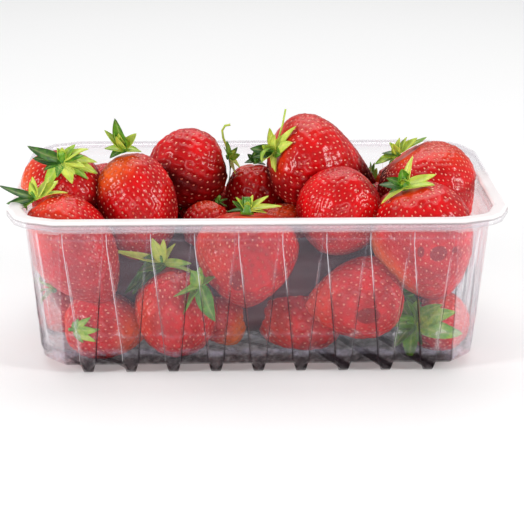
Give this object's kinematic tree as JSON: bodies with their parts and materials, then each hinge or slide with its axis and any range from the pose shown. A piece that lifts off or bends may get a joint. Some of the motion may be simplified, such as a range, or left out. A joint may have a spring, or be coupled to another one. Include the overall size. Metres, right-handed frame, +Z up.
{
  "type": "punnet of strawberries",
  "caption": "Clear fluted plastic tray, flanged and open at the top, heaped above its rim with strawberries, some with green caps.",
  "frame": {"origin": "middle of the tray's base, on the plane that its feet stand on", "axes": "+X along the tray's length, +Z up, and the side with the fullest view of the fruit faces -Y"},
  "size_m": [0.19, 0.115, 0.0856],
  "materials": {
    "clear_tray": "clear thermoformed film, glossy, slightly milky on the walls",
    "berry": "ripe strawberry skin, glossy, dimpled, orange-red where less ripe",
    "seed": "straw-coloured seed",
    "leaf": "fresh green cap leaf, paler underneath"
  },
  "bodies": {
    "root": {"tray": "clear_tray", "berry_heap": "berry"}
  },
  "joints": []
}
